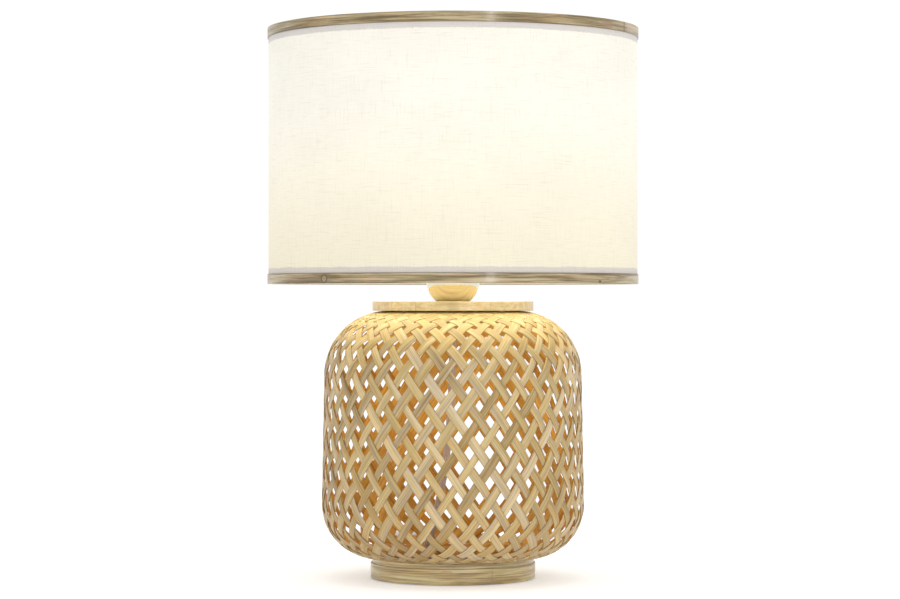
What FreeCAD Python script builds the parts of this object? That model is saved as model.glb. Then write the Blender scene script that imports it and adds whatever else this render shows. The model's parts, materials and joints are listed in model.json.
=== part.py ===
"""Table lamp: a woven bamboo lantern body on a bamboo foot, a brass ball neck and a linen drum shade.

Millimetres, +Z up, origin at the middle of the foot's underside. -Y is the front.
"""

import FreeCAD, Part
import math
import os

V = FreeCAD.Vector
UP = V(0, 0, 1)
ORIGIN = V(0, 0, 0)

# ---- fits ----
GLUE = 0.05          # glue line between pieces of one body
RUN_FIT = 0.05       # radial clearance of a pin that turns in its bore
THREAD_FIT = 0.10    # radial clearance between two plain stand-ins for a thread
LOOSE = 0.30         # gap between pieces that move past each other
HOLE_FIT = 0.20      # radial clearance of a bolt or a lead in its hole

# ---- foot ----
FOOT_R = 66.7        # outside of the foot's band
BAND_T = 1.15        # thickness of the foot's band
BAND_H = 12.5        # height of the foot's band
BAND_EDGE = 0.8      # rounding of the band's lower edge
RING_T = 4.0         # thickness of the foot's ring
RING_H = 16.4        # height of the foot's ring
FELT_T = 1.5
BOARD_T = 4.0
BALLAST_R = 40.0
BALLAST_T = 8.0
BALLAST_SCREWS = 3
BALLAST_SCREW_PCR = 25.0
M4_R = 2.0
M4_HEAD_R = 4.0
M4_HEAD_H = 2.2
M4_GRIP = 6.0        # length of a ballast screw inside the plate

# ---- woven body ----
BELLY_R = 106.2      # widest radius, at the top of the lower curve
BELLY_Z = 60.0
SHOULDER_R = 104.3   # radius at the bottom of the upper curve
SHOULDER_Z = 164.0
MOUTH_R = 52.0       # radius at which the strips turn down inside the hoop
BODY_TOP = 216.0
WEAVE_T = 1.4        # two bamboo strips on each other
WEAVE_TURN_IN = 12.0 # how far the strips go down inside the mouth hoop
WEAVE_LOW = 3.0      # height at which the strips end inside the foot
BELLY_CUT = 0.6      # share of the belly's height at which the plain shell is cut
CROWN_CUT = 6 / 13   # share of the upper curve's height at which it is cut
HOOP_T = 5.4
HOOP_H = 10.2

# ---- disc, ball neck and threaded tube ----
DISC_R = 65.25
DISC_T = 7.5
DISC_EDGE = 0.6
DISC_SCREWS = 4
DISC_SCREW_R = 1.7
DISC_SCREW_HEAD_R = 3.4
DISC_SCREW_HEAD_H = 1.8
DISC_SCREW_GRIP = 5.0
TUBE_R = 4.95        # M10x1 lamp tube, thread drawn plain
TUBE_BORE_R = 3.9
TUBE_BELOW = 10.0    # tube below the disc
TUBE_ABOVE = 6.0     # tube above the ball, inside the lampholder
WASHER_R = 10.0
WASHER_T = 1.4
NUT_AF = 14.0
NUT_T = 5.0
BALL_R = 21.8
BALL_HALF_H = 17.0   # half of the ball's height between its flat seats
BALL_WALL = 1.2

# ---- E27 lampholder ----
CAP_FOOT_R = 13.0
CAP_R = 19.5
CAP_H = 21.5
CAP_SHOULDER = 8.0   # height of the cap's curved part
CAP_WALL = 2.2
SKIRT_R = 19.6
SKIRT_H = 39.0
FLANGE_R = 24.0
FLANGE_T = 4.0
INSERT_R = 16.8
INSERT_T = 8.0
CONTACT_BORE_R = 13.5
CONTACT_WALL = 0.7
CONTACT_H = 18.0
TONGUE_W = 6.0
TONGUE_L = 15.0
TONGUE_T = 0.5
TONGUE_RISE = 2.5
TERMINAL_X = 9.0
TERMINAL_R = 2.2
TERMINAL_H = 4.0
TERMINAL_SINK = 3.0
COLLAR_R = 28.5
COLLAR_H = 7.0
COLLAR_WALL = 2.4
COLLAR_RIBS = 24
COLLAR_RIB_R = 0.8

# ---- bulb, A60 with an E27 cap ----
BULB_R = 30.0
BULB_LENGTH = 105.8
BULB_TIP_R = 4.6
BULB_TIP_H = 1.4
BULB_INSULATOR_R = 11.0
BULB_INSULATOR_H = 3.0
BULB_CAP_R = 13.1
BULB_CAP_H = 20.0
BULB_CAP_WALL = 0.5
BULB_HOUSING_H = 38.0
BULB_HOUSING_NECK = 4.0
BULB_WALL = 1.2

# ---- drum shade ----
SHADE_R = 150.0      # outside of the rim bands
SHADE_LOW = 237.5
SHADE_H = 206.0
RIM_BAND_H = 8.0
RIM_BAND_T = 0.75
FABRIC_T = 0.6
LINER_T = 0.4
HEM_T = 0.6
HEM_H = 12.0
WIRE_R = 1.5
WIRE_IN = 2.4        # wire centre above the shade's lower edge, or below its upper edge
SPIDER_RING_R = 27.0
SPIDER_T = 1.6
SPIDER_ARMS = 3
ARM_R = 1.6
ARM_FLAT_TO = 42.0   # radius at which an arm starts to slope down
ARM_FIRST_AZ = 90.0

# ---- mains lead ----
CORD_R = 3.0
GLAND_AZ = 120.0     # direction in which the lead leaves the foot, from +X
GLAND_Z = 9.0
GLAND_BUSH_R = 4.6
GLAND_FLANGE_R = 6.8
GLAND_FLANGE_T = 2.0
RELIEF_L = 20.0
RELIEF_R = 5.2
RELIEF_TIP_R = 3.9
LEAD_TOP_ABOVE_TUBE = 4.0
CORE_R = 1.1
CORE_X = 1.5
CORD_SHARE = 0.45    # share of the shorter run that an arc's tangent takes

# ---- in-line switch ----
SWITCH_X = -53.0
SWITCH_Y0 = 112.0
SWITCH_L = 56.0
SWITCH_W = 24.0
SWITCH_H = 18.5
SWITCH_WALL = 1.8
SWITCH_CORNER = 4.0
SWITCH_EDGE = 2.4
ROCKER_R = 9.0
ROCKER_W = 9.8
ROCKER_TILT = 10.0   # how far the rocker leans at each end of its travel
ROCKER_Z = 15.3
ROCKER_TOP = 2.2
ROCKER_UNDER = 1.5
TRUNNION_R = 1.25
CHEEK_T = 2.2
CHEEK_DROP = 5.0
SWITCH_POST_X = 7.9
SWITCH_POST_Y = 20.0
SWITCH_POST_R = 2.8
SWITCH_SCREW_R = 1.2
SWITCH_SCREW_HEAD_R = 2.2
SWITCH_SCREW_HEAD_H = 1.2
SWITCH_SCREW_GRIP = 5.0
STRIP_X = 5.0
STRIP_T = 1.0
STRIP_L = 20.0
STRIP_TOP = 11.6

# ---- coil of the put-away length ----
COIL_X = -13.0
COIL_Y = 202.0
COIL_MID_R = 34.0
COIL_HALF = 9.0      # half the bundle's width
COIL_LOW = 0.7
COIL_H = 18.0
COIL_EDGE = 3.0
TIE_T = 0.6
TIE_W = 8.0
TIE_AZ = 115.0

# ---- plug ----
PLUG_X = 29.0
PLUG_TAIL_Y = 150.0
PLUG_RELIEF_L = 18.0
PLUG_RELIEF_R = 5.4
PLUG_L = 36.0
PLUG_W = 35.0
PLUG_NECK_W = 15.0
PLUG_SHOULDER_L = 17.0
PLUG_T = 14.0
PLUG_CORNER = 3.6
PLUG_EDGE = 2.2
PIN_R = 2.0
PIN_CORE_R = 1.2
PIN_L = 19.0
PIN_BARE_L = 9.0
PIN_SPACING = 18.6
PIN_SINK = 4.0
SLEEVE_R = 1.9

# ---- heights and radii that follow from the values above ----
RING_R = FOOT_R - BAND_T - GLUE
RING_BORE_R = RING_R - RING_T
BOARD_R = RING_BORE_R - GLUE - WEAVE_T - GLUE
BOARD_TOP = FELT_T + BOARD_T
CROWN_Z = SHOULDER_Z + CROWN_CUT * (BODY_TOP - SHOULDER_Z)
WEAVE_CUTS = [BELLY_CUT * BELLY_Z, BELLY_Z, SHOULDER_Z, CROWN_Z]
DISC_TOP = BODY_TOP + DISC_T
BALL_Z = DISC_TOP + BALL_HALF_H
HOLDER_Z = BALL_Z + BALL_HALF_H
FLANGE_Z = HOLDER_Z + CAP_H
SEAT_Z = FLANGE_Z + FLANGE_T
SKIRT_TOP = FLANGE_Z + SKIRT_H
INSERT_TOP = SEAT_Z + FLANGE_T + SPIDER_T
BULB_Z = INSERT_TOP + TONGUE_RISE
SHADE_TOP = SHADE_LOW + SHADE_H
FABRIC_R = SHADE_R - RIM_BAND_T - GLUE
LINER_R = FABRIC_R - FABRIC_T - GLUE
HEM_R = LINER_R - LINER_T - GLUE
WIRE_RING_R = HEM_R - HEM_T - GLUE - WIRE_R
SPIDER_BORE_R = SKIRT_R + 2 * LOOSE
DISC_SCREW_PCR = MOUTH_R + GLUE + HOOP_T / 2
SWITCH_MID_Y = SWITCH_Y0 + SWITCH_L / 2
COIL_OUT_R = COIL_MID_R + COIL_HALF
GLAND_MOUTH = FOOT_R + GLAND_FLANGE_T + RELIEF_L
GLAND_COS = math.cos(math.radians(GLAND_AZ))
GLAND_SIN = math.sin(math.radians(GLAND_AZ))

# The lead inside the body, as distance out towards the gland and height.
INNER_ROUTE = [
    (0.0, 0.0, HOLDER_Z + TUBE_ABOVE + LEAD_TOP_ABOVE_TUBE),
    (0.0, 0.0, 205.0),
    (0.6, 0.0, 172.0),
    (2.8, 0.0, 140.0),
    (8.0, 0.0, 108.0),
    (16.5, 0.0, 77.0),
    (27.0, 0.0, 49.0),
    (40.0, 0.0, 24.0),
    (52.0, 0.0, GLAND_Z),
    (GLAND_MOUTH, 0.0, GLAND_Z),
]
# The lead outside the body: gland to switch, switch to coil, coil to plug.
CORD_TO_SWITCH = [
    (GLAND_MOUTH * GLAND_COS, GLAND_MOUTH * GLAND_SIN, GLAND_Z),
    (-49.0, 84.9, 9.0),
    (-51.8, 94.0, 8.8),
    (-52.8, 103.0, 8.9),
    (-53.0, 112.0, 9.0),
]
CORD_TO_COIL = [
    (-53.0, 168.0, 9.0),
    (-53.1, 175.0, 8.6),
    (-53.1, 183.0, 6.9),
    (-53.0, 190.0, 5.0),
]
CORD_TO_PLUG = [
    (27.0, 192.0, 15.6),
    (27.3, 181.0, 13.9),
    (28.2, 169.0, 10.4),
    (28.9, 159.0, 7.8),
    (29.0, 150.0, 7.0),
]


# ---- helpers ----
def cylinder(radius, low, high, x=0.0, y=0.0):
    return Part.makeCylinder(radius, high - low, V(x, y, low), UP)


def tube(inner, outer, low, high, x=0.0, y=0.0):
    return cylinder(outer, low, high, x, y).cut(cylinder(inner, low, high, x, y))


def bar(radius, start, end):
    along = end.sub(start)
    return Part.makeCylinder(radius, along.Length, start, along)


def block(x0, x1, y0, y1, z0, z1):
    return Part.makeBox(x1 - x0, y1 - y0, z1 - z0, V(x0, y0, z0))


def turned(edges):
    """A solid of revolution about Z from edges that close in the XZ plane."""
    face = Part.Face(Part.Wire(Part.__sortEdges__(edges)))
    return face.revolve(ORIGIN, UP, 360)


def turned_polygon(points):
    """A solid of revolution about Z from (radius, height) corners."""
    corners = [V(r, 0, z) for r, z in points]
    face = Part.Face(Part.makePolygon(corners + corners[:1]))
    return face.revolve(ORIGIN, UP, 360)


def line(a, b):
    return Part.LineSegment(V(a[0], 0, a[1]), V(b[0], 0, b[1])).toShape()


def quarter(centre_r, centre_z, half_w, half_h, start_deg):
    """A quarter of an ellipse in the XZ plane, from start_deg to start_deg + 90."""
    wide = half_w >= half_h
    middle = V(centre_r, 0, centre_z)
    along_r = V(centre_r + half_w, 0, centre_z)
    along_z = V(centre_r, 0, centre_z + half_h)
    far, near = (along_r, along_z) if wide else (along_z, V(centre_r - half_w, 0, centre_z))
    ellipse = Part.Ellipse(far, near, middle)
    low = start_deg if wide else start_deg - 90
    return Part.Arc(ellipse, math.radians(low), math.radians(low + 90)).toShape()


def outer_edges(solid, radius, height):
    """The circles of a given radius at a given height."""
    found = []
    for edge in solid.Edges:
        curve = edge.Curve
        round_edge = isinstance(curve, Part.Circle)
        if round_edge and abs(curve.Radius - radius) < 0.01 and abs(curve.Center.z - height) < 0.01:
            found.append(edge)
    return found


def bent_tube(points, radius, name):
    """A round tube along straight runs that are joined by tangent arcs."""
    spots = [V(*p) for p in points]
    edges = []
    start = spots[0]
    least = 1e9
    for before, corner, after in zip(spots, spots[1:], spots[2:]):
        back = before.sub(corner)
        ahead = after.sub(corner)
        turn = math.pi - back.getAngle(ahead)
        reach = CORD_SHARE * min(back.Length, ahead.Length)
        arc_radius = reach / math.tan(turn / 2)
        least = min(least, arc_radius)
        arc_start = corner.add(back.normalize().multiply(reach))
        arc_end = corner.add(ahead.normalize().multiply(reach))
        inward = back.add(ahead).normalize()
        sag = arc_radius / math.cos(turn / 2) - arc_radius
        arc_middle = corner.add(inward.multiply(sag))
        edges.append(Part.LineSegment(start, arc_start).toShape())
        edges.append(Part.Arc(arc_start, arc_middle, arc_end).toShape())
        start = arc_end
    edges.append(Part.LineSegment(start, spots[-1]).toShape())
    path = Part.Wire(edges)
    profile = Part.Wire(Part.makeCircle(radius, spots[0], spots[1].sub(spots[0])))
    solid = path.makePipeShell([profile], True, True)
    share = solid.Volume / (math.pi * radius**2 * path.Length)
    print(f"{name}: length {path.Length:.1f}, least bend radius {least:.1f}, volume share {share:.4f}")
    return solid


def towards_gland(shape):
    """Turns a shape that points along +X to point along the gland."""
    return shape.rotate(ORIGIN, UP, GLAND_AZ)


def gland_hole(shape):
    hole = Part.makeCylinder(GLAND_BUSH_R + THREAD_FIT, FOOT_R, V(BOARD_R - 2, 0, GLAND_Z), V(1, 0, 0))
    towards_gland(hole)
    return shape.cut(hole)


def around(shape, count, first_deg=0.0):
    """Copies of a shape about the Z axis."""
    copies = []
    for index in range(count):
        copy = shape.copy()
        copy.rotate(ORIGIN, UP, first_deg + index * 360 / count)
        copies.append(copy)
    return copies


# ---- foot ----
def foot_band():
    band = tube(RING_R + GLUE, FOOT_R, 0, BAND_H)
    band = band.makeFillet(BAND_EDGE, outer_edges(band, FOOT_R, 0))
    return gland_hole(band)


def foot_ring():
    return gland_hole(tube(RING_BORE_R, RING_R, 0, RING_H))


def ballast_screw():
    head = Part.makeCone(M4_HEAD_R, M4_R, M4_HEAD_H, V(BALLAST_SCREW_PCR, 0, FELT_T), UP)
    shank = cylinder(M4_R, FELT_T, BOARD_TOP + M4_GRIP, BALLAST_SCREW_PCR)
    return head.fuse(shank)


def ballast_hole():
    head = Part.makeCone(
        M4_HEAD_R + HOLE_FIT, M4_R + HOLE_FIT, M4_HEAD_H, V(BALLAST_SCREW_PCR, 0, FELT_T), UP
    )
    shank = cylinder(M4_R + HOLE_FIT, FELT_T, BOARD_TOP, BALLAST_SCREW_PCR)
    tapped = cylinder(M4_R + GLUE, BOARD_TOP, BOARD_TOP + M4_GRIP + 1, BALLAST_SCREW_PCR)
    return head.fuse(shank).fuse(tapped)


def base_felt():
    return cylinder(BOARD_R, 0, FELT_T)


def base_board():
    board = cylinder(BOARD_R, FELT_T, BOARD_TOP)
    for hole in around(ballast_hole(), BALLAST_SCREWS):
        board = board.cut(hole)
    return board


def ballast_plate():
    plate = cylinder(BALLAST_R, BOARD_TOP, BOARD_TOP + BALLAST_T)
    plate = plate.makeFillet(1.0, outer_edges(plate, BALLAST_R, BOARD_TOP + BALLAST_T))
    for hole in around(ballast_hole(), BALLAST_SCREWS):
        plate = plate.cut(hole)
    return plate


def ballast_screws():
    return Part.makeCompound(around(ballast_screw(), BALLAST_SCREWS))


# ---- woven body ----
def weave_profile(inset):
    """The body's curved outline from mouth to foot, moved inwards by inset."""
    top_half = BODY_TOP - SHOULDER_Z - inset
    low_half = BELLY_Z - RING_H - GLUE - inset
    foot_r = RING_R - RING_T / 2
    upper = quarter(MOUTH_R, SHOULDER_Z, SHOULDER_R - MOUTH_R - inset, top_half, 0)
    wall = line((SHOULDER_R - inset, SHOULDER_Z), (BELLY_R - inset, BELLY_Z))
    lower = quarter(foot_r, BELLY_Z, BELLY_R - foot_r - inset, low_half, 270)
    return [upper, wall, lower]


def woven_body():
    foot_r = RING_R - RING_T / 2
    collar_r = RING_BORE_R - GLUE
    foot_z = RING_H + GLUE
    mouth_low = BODY_TOP - WEAVE_TURN_IN
    ends = [
        line((MOUTH_R, BODY_TOP), (MOUTH_R - WEAVE_T, BODY_TOP)),
        line((MOUTH_R - WEAVE_T, BODY_TOP), (MOUTH_R - WEAVE_T, mouth_low)),
        line((MOUTH_R - WEAVE_T, mouth_low), (MOUTH_R, mouth_low)),
        line((MOUTH_R, mouth_low), (MOUTH_R, BODY_TOP - WEAVE_T)),
        line((foot_r, foot_z), (collar_r, foot_z)),
        line((collar_r, foot_z), (collar_r, WEAVE_LOW)),
        line((collar_r, WEAVE_LOW), (collar_r - WEAVE_T, WEAVE_LOW)),
        line((collar_r - WEAVE_T, WEAVE_LOW), (collar_r - WEAVE_T, foot_z + WEAVE_T)),
        line((collar_r - WEAVE_T, foot_z + WEAVE_T), (foot_r, foot_z + WEAVE_T)),
    ]
    body = turned(weave_profile(0) + weave_profile(WEAVE_T) + ends)
    for screw in around(disc_screw(HOLE_FIT), DISC_SCREWS, 45):
        body = body.cut(screw)
    return stacked_rings(gland_hole(body), WEAVE_CUTS)


def stacked_rings(shell, cuts):
    """The same shell as rings that stand face to face on each other, so that each is nearly straight in height."""
    levels = [-1.0] + cuts + [BODY_TOP + 1]
    rings = []
    for low, high in zip(levels, levels[1:]):
        slab = block(-BELLY_R - 1, BELLY_R + 1, -BELLY_R - 1, BELLY_R + 1, low, high)
        rings += shell.common(slab).Solids
    return Part.makeCompound(rings)


def mouth_hoop():
    inner = MOUTH_R + GLUE
    top = BODY_TOP - WEAVE_T - 4 * GLUE
    hoop = tube(inner, inner + HOOP_T, top - HOOP_H, top)
    envelope = turned(weave_profile(WEAVE_T + GLUE) + [
        line((MOUTH_R, BODY_TOP - WEAVE_T - GLUE), (0, BODY_TOP - WEAVE_T - GLUE)),
        line((0, BODY_TOP - WEAVE_T - GLUE), (0, RING_H + 2 * GLUE + WEAVE_T)),
        line((0, RING_H + 2 * GLUE + WEAVE_T), (RING_R - RING_T / 2, RING_H + 2 * GLUE + WEAVE_T)),
    ])
    hoop = hoop.common(envelope)
    for screw in around(disc_screw(GLUE), DISC_SCREWS, 45):
        hoop = hoop.cut(screw)
    return hoop


# ---- disc, threaded tube and ball ----
def disc_screw(fit=0.0):
    """A wood screw from below, through the mouth hoop and into the disc."""
    low = BODY_TOP - WEAVE_T - 4 * GLUE - HOOP_H
    head = cylinder(DISC_SCREW_HEAD_R - fit, low - DISC_SCREW_HEAD_H, low, DISC_SCREW_PCR)
    shank = cylinder(DISC_SCREW_R + fit, low, BODY_TOP + DISC_SCREW_GRIP + fit, DISC_SCREW_PCR)
    return shank if fit else head.fuse(shank)


def disc_screws():
    head_room = tube(MOUTH_R + GLUE, SHOULDER_R, 0, DISC_TOP)
    screws = around(disc_screw(), DISC_SCREWS, 45)
    return Part.makeCompound([screw.common(head_room) for screw in screws])


def top_disc():
    disc = tube(TUBE_R + HOLE_FIT, DISC_R, BODY_TOP, DISC_TOP)
    rims = outer_edges(disc, DISC_R, BODY_TOP) + outer_edges(disc, DISC_R, DISC_TOP)
    disc = disc.makeFillet(DISC_EDGE, rims)
    for screw in around(disc_screw(GLUE), DISC_SCREWS, 45):
        disc = disc.cut(screw)
    return disc


def lamp_tube():
    return tube(TUBE_BORE_R, TUBE_R, BODY_TOP - TUBE_BELOW, HOLDER_Z + TUBE_ABOVE)


def tube_washer():
    return tube(TUBE_R + HOLE_FIT, WASHER_R, BODY_TOP - WASHER_T, BODY_TOP)


def tube_nut():
    top = BODY_TOP - WASHER_T
    corner_r = NUT_AF / 2 / math.cos(math.pi / 6)
    corners = []
    for index in range(6):
        turn = index * math.pi / 3
        corners.append(V(corner_r * math.cos(turn), corner_r * math.sin(turn), top - NUT_T))
    prism = Part.Face(Part.makePolygon(corners + corners[:1])).extrude(V(0, 0, NUT_T))
    return prism.cut(cylinder(TUBE_R + GLUE, top - NUT_T, top))


def ball_neck():
    outer = Part.makeSphere(BALL_R, V(0, 0, BALL_Z))
    outer = outer.common(cylinder(BALL_R, BALL_Z - BALL_HALF_H, BALL_Z + BALL_HALF_H))
    inner = Part.makeSphere(BALL_R - BALL_WALL, V(0, 0, BALL_Z))
    half = BALL_HALF_H - BALL_WALL
    inner = inner.common(cylinder(BALL_R, BALL_Z - half, BALL_Z + half))
    hole = cylinder(TUBE_R + HOLE_FIT, BALL_Z - BALL_R, BALL_Z + BALL_R)
    return outer.cut(inner).cut(hole)


# ---- lampholder ----
def holder_cap():
    curve_z = HOLDER_Z + CAP_SHOULDER
    inner_r = CAP_R - CAP_WALL
    outer = turned([
        line((0, HOLDER_Z), (CAP_FOOT_R, HOLDER_Z)),
        quarter(CAP_FOOT_R, curve_z, CAP_R - CAP_FOOT_R, CAP_SHOULDER, 270),
        line((CAP_R, curve_z), (CAP_R, FLANGE_Z)),
        line((CAP_R, FLANGE_Z), (0, FLANGE_Z)),
        line((0, FLANGE_Z), (0, HOLDER_Z)),
    ])
    hollow = turned_polygon([
        (0, HOLDER_Z + CAP_WALL),
        (CAP_FOOT_R - CAP_WALL / 2, HOLDER_Z + CAP_WALL),
        (inner_r, curve_z),
        (inner_r, FLANGE_Z),
        (0, FLANGE_Z),
    ])
    return outer.cut(hollow).cut(cylinder(TUBE_R + GLUE, HOLDER_Z, FLANGE_Z))


def holder_skirt():
    contact_r = CONTACT_BORE_R + CONTACT_WALL + GLUE
    outer = cylinder(FLANGE_R, FLANGE_Z, SEAT_Z).fuse(cylinder(SKIRT_R, FLANGE_Z, SKIRT_TOP))
    wide = cylinder(INSERT_R + GLUE, FLANGE_Z, INSERT_TOP)
    return outer.cut(wide).cut(cylinder(contact_r, INSERT_TOP, SKIRT_TOP))


def terminal_spots():
    return [(-TERMINAL_X, 0.0), (TERMINAL_X, 0.0)]


def holder_insert():
    low = INSERT_TOP - INSERT_T
    insert = cylinder(INSERT_R, low, INSERT_TOP)
    for x, y in terminal_spots():
        insert = insert.cut(cylinder(TERMINAL_R + GLUE, low, low + TERMINAL_SINK, x, y))
    return insert


def screw_contact():
    return tube(CONTACT_BORE_R, CONTACT_BORE_R + CONTACT_WALL, INSERT_TOP, INSERT_TOP + CONTACT_H)


def centre_contact():
    """A bent brass tongue: its root lies on the insert and its tip stands under the bulb."""
    half_w = TONGUE_W / 2
    half_l = TONGUE_L / 2
    tip_z = INSERT_TOP + TONGUE_RISE - TONGUE_T
    root = block(-half_l, 0, -half_w, half_w, INSERT_TOP, INSERT_TOP + TONGUE_T)
    riser = block(-half_l, -half_l + TONGUE_T, -half_w, half_w, INSERT_TOP, tip_z + TONGUE_T)
    tip = block(-half_l, half_l / 2, -half_w, half_w, tip_z, tip_z + TONGUE_T)
    return root.fuse(riser).fuse(tip)


def terminal_screws():
    low = INSERT_TOP - INSERT_T
    screws = []
    for x, y in terminal_spots():
        shank = cylinder(TERMINAL_R, low - TERMINAL_H, low + TERMINAL_SINK, x, y)
        slot = block(x - 0.4, x + 0.4, -TERMINAL_R, TERMINAL_R, low - TERMINAL_H, low - TERMINAL_H + 1)
        screws.append(shank.cut(slot))
    return Part.makeCompound(screws)


def lead_cores():
    """Two insulated cores from the lead's end to the terminals."""
    lead_top = HOLDER_Z + TUBE_ABOVE + LEAD_TOP_ABOVE_TUBE
    terminal_low = INSERT_TOP - INSERT_T - TERMINAL_H
    cores = []
    for side in (-1, 1):
        start = V(side * CORE_X, 0, lead_top + GLUE)
        elbow = V(side * CORE_X, 0, lead_top + (terminal_low - lead_top) / 3)
        end = V(side * (TERMINAL_X - TERMINAL_R), 0, terminal_low - CORE_R - GLUE)
        joint = Part.makeSphere(CORE_R, elbow)
        cores.append(bar(CORE_R, start, elbow).fuse(joint).fuse(bar(CORE_R, elbow, end)))
    return Part.makeCompound(cores)


def shade_collar():
    """The ribbed ring that screws down on the shade's fitting."""
    low = SEAT_Z + SPIDER_T
    skirt = tube(SKIRT_R + THREAD_FIT, SKIRT_R + THREAD_FIT + COLLAR_WALL, low, low + COLLAR_H)
    plate = tube(SKIRT_R + THREAD_FIT, COLLAR_R, low, low + COLLAR_WALL)
    rim = tube(COLLAR_R - COLLAR_WALL, COLLAR_R, low, low + COLLAR_H)
    ring = skirt.fuse(plate).fuse(rim)
    rib = cylinder(COLLAR_RIB_R, low, low + COLLAR_H, COLLAR_R)
    for copy in around(rib, COLLAR_RIBS):
        ring = ring.fuse(copy)
    return ring.removeSplitter()


# ---- bulb ----
CAP_LOW = BULB_Z + BULB_TIP_H + BULB_INSULATOR_H
HOUSING_LOW = CAP_LOW + BULB_CAP_H
HOUSING_TOP = HOUSING_LOW + BULB_HOUSING_H
DOME_Z = BULB_Z + BULB_LENGTH - BULB_R
DOME_EDGE_R = math.sqrt(BULB_R**2 - (DOME_Z - HOUSING_TOP) ** 2)


def bulb_tip():
    return cylinder(BULB_TIP_R, BULB_Z, BULB_Z + BULB_TIP_H)


def bulb_insulator():
    low = BULB_Z + BULB_TIP_H
    return Part.makeCone(BULB_TIP_R + 1, BULB_INSULATOR_R, BULB_INSULATOR_H, V(0, 0, low), UP)


def bulb_cap():
    inner = cylinder(BULB_CAP_R - BULB_CAP_WALL, CAP_LOW + BULB_CAP_WALL, HOUSING_LOW)
    return cylinder(BULB_CAP_R, CAP_LOW, HOUSING_LOW).cut(inner)


def bulb_housing():
    """The opaque lower part of the bulb, a cone with a hollow inside."""
    neck_z = HOUSING_LOW + BULB_HOUSING_NECK
    outer = turned_polygon([
        (0, HOUSING_LOW), (BULB_CAP_R, HOUSING_LOW), (BULB_CAP_R, neck_z),
        (DOME_EDGE_R, HOUSING_TOP), (0, HOUSING_TOP),
    ])
    inner = turned_polygon([
        (0, neck_z), (BULB_CAP_R - BULB_WALL, neck_z),
        (DOME_EDGE_R - 2 * BULB_WALL, HOUSING_TOP), (0, HOUSING_TOP),
    ])
    return outer.cut(inner)


def bulb_dome():
    centre = V(0, 0, DOME_Z)
    shell = Part.makeSphere(BULB_R, centre).cut(Part.makeSphere(BULB_R - BULB_WALL, centre))
    return shell.common(cylinder(BULB_R + 1, HOUSING_TOP, DOME_Z + BULB_R + 1))


# ---- shade ----
def rim_band(low):
    return tube(SHADE_R - RIM_BAND_T, SHADE_R, low, low + RIM_BAND_H)


def shade_fabric():
    return tube(FABRIC_R - FABRIC_T, FABRIC_R, SHADE_LOW, SHADE_TOP)


def shade_liner():
    return tube(LINER_R - LINER_T, LINER_R, SHADE_LOW, SHADE_TOP)


def hem(low):
    return tube(HEM_R - HEM_T, HEM_R, low, low + HEM_H)


def wire_ring(height):
    return Part.makeTorus(WIRE_RING_R, WIRE_R, V(0, 0, height), UP)


def spider_frame():
    """Fitting ring, arms and lower wire ring, welded together."""
    mid_z = SEAT_Z + SPIDER_T / 2
    wire_z = SHADE_LOW + WIRE_IN
    frame = tube(SPIDER_BORE_R, SPIDER_RING_R, SEAT_Z, SEAT_Z + SPIDER_T)
    start = V(SPIDER_RING_R - ARM_R / 2, 0, mid_z)
    elbow = V(ARM_FLAT_TO, 0, mid_z)
    end = V(WIRE_RING_R, 0, wire_z)
    arm = bar(ARM_R / 2, start, elbow).fuse(Part.makeSphere(ARM_R / 2, elbow))
    arm = arm.fuse(bar(ARM_R / 2, elbow, end))
    for copy in around(arm, SPIDER_ARMS, ARM_FIRST_AZ):
        frame = frame.fuse(copy)
    return frame.fuse(wire_ring(wire_z))


# ---- gland, leads, coil and tie ----
def cord_gland():
    bore = CORD_R + THREAD_FIT
    flange_u = FOOT_R + GLUE
    relief_u = flange_u + GLAND_FLANGE_T
    inner_u = BOARD_R + 2 * GLUE
    corners = [
        (bore, inner_u), (GLAND_BUSH_R, inner_u), (GLAND_BUSH_R, flange_u),
        (GLAND_FLANGE_R, flange_u), (GLAND_FLANGE_R, relief_u), (RELIEF_R, relief_u),
        (RELIEF_TIP_R, GLAND_MOUTH), (bore, GLAND_MOUTH),
    ]
    gland = turned_polygon(corners)
    gland.rotate(ORIGIN, V(0, 1, 0), 90)
    gland.translate(V(0, 0, GLAND_Z))
    return towards_gland(gland)


def inner_lead():
    return towards_gland(bent_tube(INNER_ROUTE, CORD_R, "inner_lead"))


def coil_section(grow):
    """The bundle's rounded section in the XZ plane, about the coil's own axis."""
    inner = COIL_MID_R - COIL_HALF - grow
    outer = COIL_MID_R + COIL_HALF + grow
    low = COIL_LOW - grow
    high = COIL_LOW + COIL_H + grow
    section = block(inner, outer, 0, 1, low, high)
    uprights = [e for e in section.Edges if abs(e.tangentAt(e.FirstParameter).y) > 0.99]
    rounded = section.makeFillet(COIL_EDGE + grow, uprights)
    for face in rounded.Faces:
        if abs(face.CenterOfMass.y) < 1e-6:
            return face
    raise ValueError("the bundle's section has no flat face")


def cord_coil():
    coil = coil_section(0).revolve(ORIGIN, UP, 360)
    coil.translate(V(COIL_X, COIL_Y, 0))
    return coil


def cord_tie():
    """A soft band round the bundle."""
    sweep = math.degrees(TIE_W / COIL_MID_R)
    ring = coil_section(TIE_T + GLUE).cut(coil_section(GLUE))
    band = ring.Faces[0].revolve(ORIGIN, UP, sweep)
    band.rotate(ORIGIN, UP, TIE_AZ - sweep / 2)
    band.translate(V(COIL_X, COIL_Y, 0))
    return band


def cord_to_switch():
    return bent_tube(CORD_TO_SWITCH, CORD_R, "cord_to_switch")


def cord_to_coil():
    return bent_tube(CORD_TO_COIL, CORD_R, "cord_to_coil").cut(cord_coil())


def cord_to_plug():
    return bent_tube(CORD_TO_PLUG, CORD_R, "cord_to_plug").cut(cord_coil())


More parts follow.
